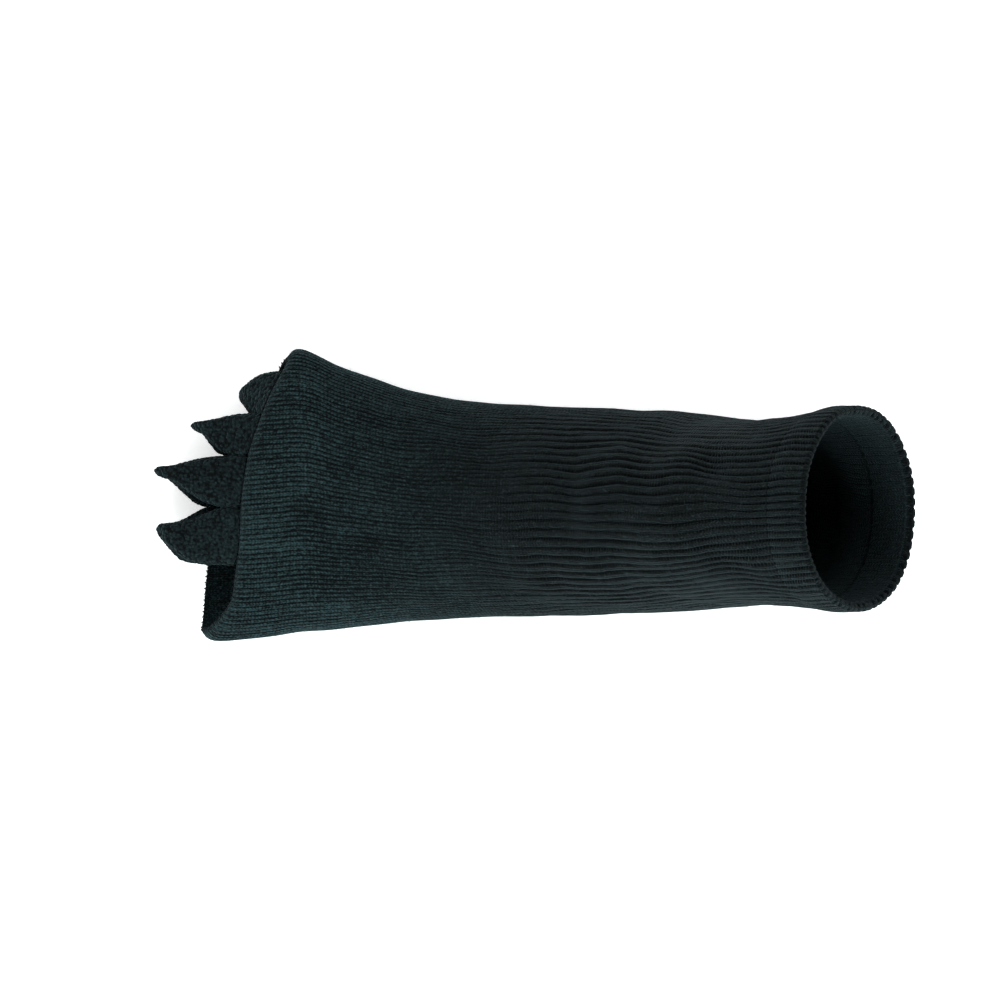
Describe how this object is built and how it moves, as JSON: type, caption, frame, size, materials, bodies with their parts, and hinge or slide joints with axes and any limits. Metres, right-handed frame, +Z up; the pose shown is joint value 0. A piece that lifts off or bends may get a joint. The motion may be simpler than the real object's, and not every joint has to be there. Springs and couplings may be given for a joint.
{
  "type": "toe sock",
  "caption": "Open-toe knitted sock shaped by the foot, with padded separators between the toe holes, a ribbed ankle and a turned cuff welt.",
  "frame": {"origin": "inner face of the sole under the heel, on the middle line of the foot", "axes": "+X from the toes towards the heel and leg, +Y to the little toe side, +Z up from the sole towards the instep"},
  "size_m": [0.2401, 0.0941, 0.1397],
  "materials": {
    "foot_knit": "dark teal-grey jersey knit, matt",
    "rib_knit": "dark charcoal 1x1 rib knit, matt",
    "welt_knit": "dark charcoal turned rib welt, matt",
    "pad_knit": "dark moss-stitch knit over soft filling, matt"
  },
  "bodies": {
    "root": {"foot_tube": "foot_knit", "ankle_rib": "rib_knit", "cuff_welt": "welt_knit", "toe_separator_1": "pad_knit", "toe_separator_2": "pad_knit", "toe_separator_3": "pad_knit", "toe_separator_4": "pad_knit"}
  },
  "joints": []
}
